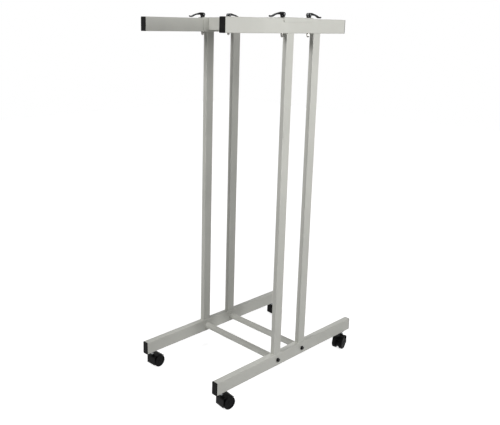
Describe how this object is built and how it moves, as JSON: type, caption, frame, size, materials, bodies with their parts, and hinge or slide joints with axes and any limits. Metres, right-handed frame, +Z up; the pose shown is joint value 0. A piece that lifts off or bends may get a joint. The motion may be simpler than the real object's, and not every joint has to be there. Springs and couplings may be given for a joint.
{
  "type": "plan hanging rack",
  "caption": "Mobile hanging rack for large drawings: tubular frames with overhanging top rails, a bridge clamped by cam levers, round base bars and swivelling twin-wheel castors",
  "frame": {"origin": "on the floor, midway between the two frames and midway between the front and rear uprights", "axes": "X runs from the left frame to the right one, Y from the front, where the rails overhang, to the rear, Z up"},
  "size_m": [0.457, 0.803, 1.3898],
  "materials": {
    "frame_paint": "satin powder coat, light warm grey",
    "cap_plastic": "moulded black polyethylene",
    "castor_plastic": "moulded black nylon, fine texture",
    "wheel_plastic": "moulded black nylon",
    "lever_black": "black painted die casting, half gloss",
    "black_steel": "black oxide",
    "zinc_steel": "bright zinc plate",
    "bright_nut": "polished nickel plate"
  },
  "bodies": {
    "frame": {"foot_left": "frame_paint", "rail_left": "frame_paint", "saddle_left": "frame_paint", "foot_right": "frame_paint", "rail_right": "frame_paint", "saddle_right": "frame_paint", "base_bar_front": "frame_paint", "base_bar_rear": "frame_paint", "bridge": "frame_paint", "upright_left_front": "frame_paint", "upright_left_rear": "frame_paint", "upright_right_front": "frame_paint", "upright_right_rear": "frame_paint", "foot_cap_left_front": "cap_plastic", "rail_cap_left_front": "cap_plastic", "foot_cap_left_rear": "cap_plastic", "rail_cap_left_rear": "cap_plastic", "foot_cap_right_front": "cap_plastic", "rail_cap_right_front": "cap_plastic", "foot_cap_right_rear": "cap_plastic", "rail_cap_right_rear": "cap_plastic", "bar_plugs": "zinc_steel", "bar_washers": "black_steel", "bar_bolts": "black_steel", "skewer_left_front": "zinc_steel", "skewer_left_rear": "zinc_steel", "skewer_right_front": "zinc_steel", "skewer_right_rear": "zinc_steel", "cam_pins": "zinc_steel", "cam_cups": "lever_black", "dome_nuts": "bright_nut", "nut_washers": "bright_nut", "castor_sockets": "cap_plastic"},
    "castor_left_front": {"castor_housing_left_front": "castor_plastic", "castor_stem_left_front": "zinc_steel", "castor_axle_left_front": "zinc_steel"},
    "wheel_inner_left_front": {"castor_wheel_inner_left_front": "wheel_plastic"},
    "wheel_outer_left_front": {"castor_wheel_outer_left_front": "wheel_plastic"},
    "castor_left_rear": {"castor_housing_left_rear": "castor_plastic", "castor_stem_left_rear": "zinc_steel", "castor_axle_left_rear": "zinc_steel"},
    "wheel_inner_left_rear": {"castor_wheel_inner_left_rear": "wheel_plastic"},
    "wheel_outer_left_rear": {"castor_wheel_outer_left_rear": "wheel_plastic"},
    "castor_right_front": {"castor_housing_right_front": "castor_plastic", "castor_stem_right_front": "zinc_steel", "castor_axle_right_front": "zinc_steel"},
    "wheel_inner_right_front": {"castor_wheel_inner_right_front": "wheel_plastic"},
    "wheel_outer_right_front": {"castor_wheel_outer_right_front": "wheel_plastic"},
    "castor_right_rear": {"castor_housing_right_rear": "castor_plastic", "castor_stem_right_rear": "zinc_steel", "castor_axle_right_rear": "zinc_steel"},
    "wheel_inner_right_rear": {"castor_wheel_inner_right_rear": "wheel_plastic"},
    "wheel_outer_right_rear": {"castor_wheel_outer_right_rear": "wheel_plastic"},
    "lever_left_front": {"cam_lever_left_front": "lever_black"},
    "lever_left_rear": {"cam_lever_left_rear": "lever_black"},
    "lever_right_front": {"cam_lever_right_front": "lever_black"},
    "lever_right_rear": {"cam_lever_right_rear": "lever_black"}
  },
  "joints": [
    {"name": "swivel_left_front", "type": "hinge", "parent": "frame", "child": "castor_left_front", "pos_m": [-0.2, -0.36, 0.0667], "axis": [0, 0, 1], "continuous": true},
    {"name": "roll_inner_left_front", "type": "hinge", "parent": "castor_left_front", "child": "wheel_inner_left_front", "pos_m": [-0.20115, -0.33803, 0.025], "axis": [0.9986, 0.0523, 0], "continuous": true},
    {"name": "roll_outer_left_front", "type": "hinge", "parent": "castor_left_front", "child": "wheel_outer_left_front", "pos_m": [-0.20115, -0.33803, 0.025], "axis": [0.9986, 0.0523, 0], "continuous": true},
    {"name": "swivel_left_rear", "type": "hinge", "parent": "frame", "child": "castor_left_rear", "pos_m": [-0.2, 0.36, 0.0667], "axis": [0, 0, 1], "continuous": true},
    {"name": "roll_inner_left_rear", "type": "hinge", "parent": "castor_left_rear", "child": "wheel_inner_left_rear", "pos_m": [-0.2, 0.382, 0.025], "axis": [1, 0, 0], "continuous": true},
    {"name": "roll_outer_left_rear", "type": "hinge", "parent": "castor_left_rear", "child": "wheel_outer_left_rear", "pos_m": [-0.2, 0.382, 0.025], "axis": [1, 0, 0], "continuous": true},
    {"name": "swivel_right_front", "type": "hinge", "parent": "frame", "child": "castor_right_front", "pos_m": [0.2, -0.36, 0.0667], "axis": [0, 0, 1], "continuous": true},
    {"name": "roll_inner_right_front", "type": "hinge", "parent": "castor_right_front", "child": "wheel_inner_right_front", "pos_m": [0.20268, -0.33816, 0.025], "axis": [0.9925, -0.1219, 0], "continuous": true},
    {"name": "roll_outer_right_front", "type": "hinge", "parent": "castor_right_front", "child": "wheel_outer_right_front", "pos_m": [0.20268, -0.33816, 0.025], "axis": [0.9925, -0.1219, 0], "continuous": true},
    {"name": "swivel_right_rear", "type": "hinge", "parent": "frame", "child": "castor_right_rear", "pos_m": [0.2, 0.36, 0.0667], "axis": [0, 0, 1], "continuous": true},
    {"name": "roll_inner_right_rear", "type": "hinge", "parent": "castor_right_rear", "child": "wheel_inner_right_rear", "pos_m": [0.20514, 0.33861, 0.025], "axis": [-0.9724, -0.2334, 0], "continuous": true},
    {"name": "roll_outer_right_rear", "type": "hinge", "parent": "castor_right_rear", "child": "wheel_outer_right_rear", "pos_m": [0.20514, 0.33861, 0.025], "axis": [-0.9724, -0.2334, 0], "continuous": true},
    {"name": "lever_left_front", "type": "hinge", "parent": "frame", "child": "lever_left_front", "pos_m": [-0.2, -0.1065, 1.3828], "axis": [-1, 0, 0], "range_deg": [0, 135]},
    {"name": "lever_left_rear", "type": "hinge", "parent": "frame", "child": "lever_left_rear", "pos_m": [-0.2, 0.0325, 1.3828], "axis": [1, 0, 0], "range_deg": [0, 135]},
    {"name": "lever_right_front", "type": "hinge", "parent": "frame", "child": "lever_right_front", "pos_m": [0.2, -0.1065, 1.3828], "axis": [-1, 0, 0], "range_deg": [0, 135]},
    {"name": "lever_right_rear", "type": "hinge", "parent": "frame", "child": "lever_right_rear", "pos_m": [0.2, 0.0325, 1.3828], "axis": [1, 0, 0], "range_deg": [0, 135]}
  ]
}
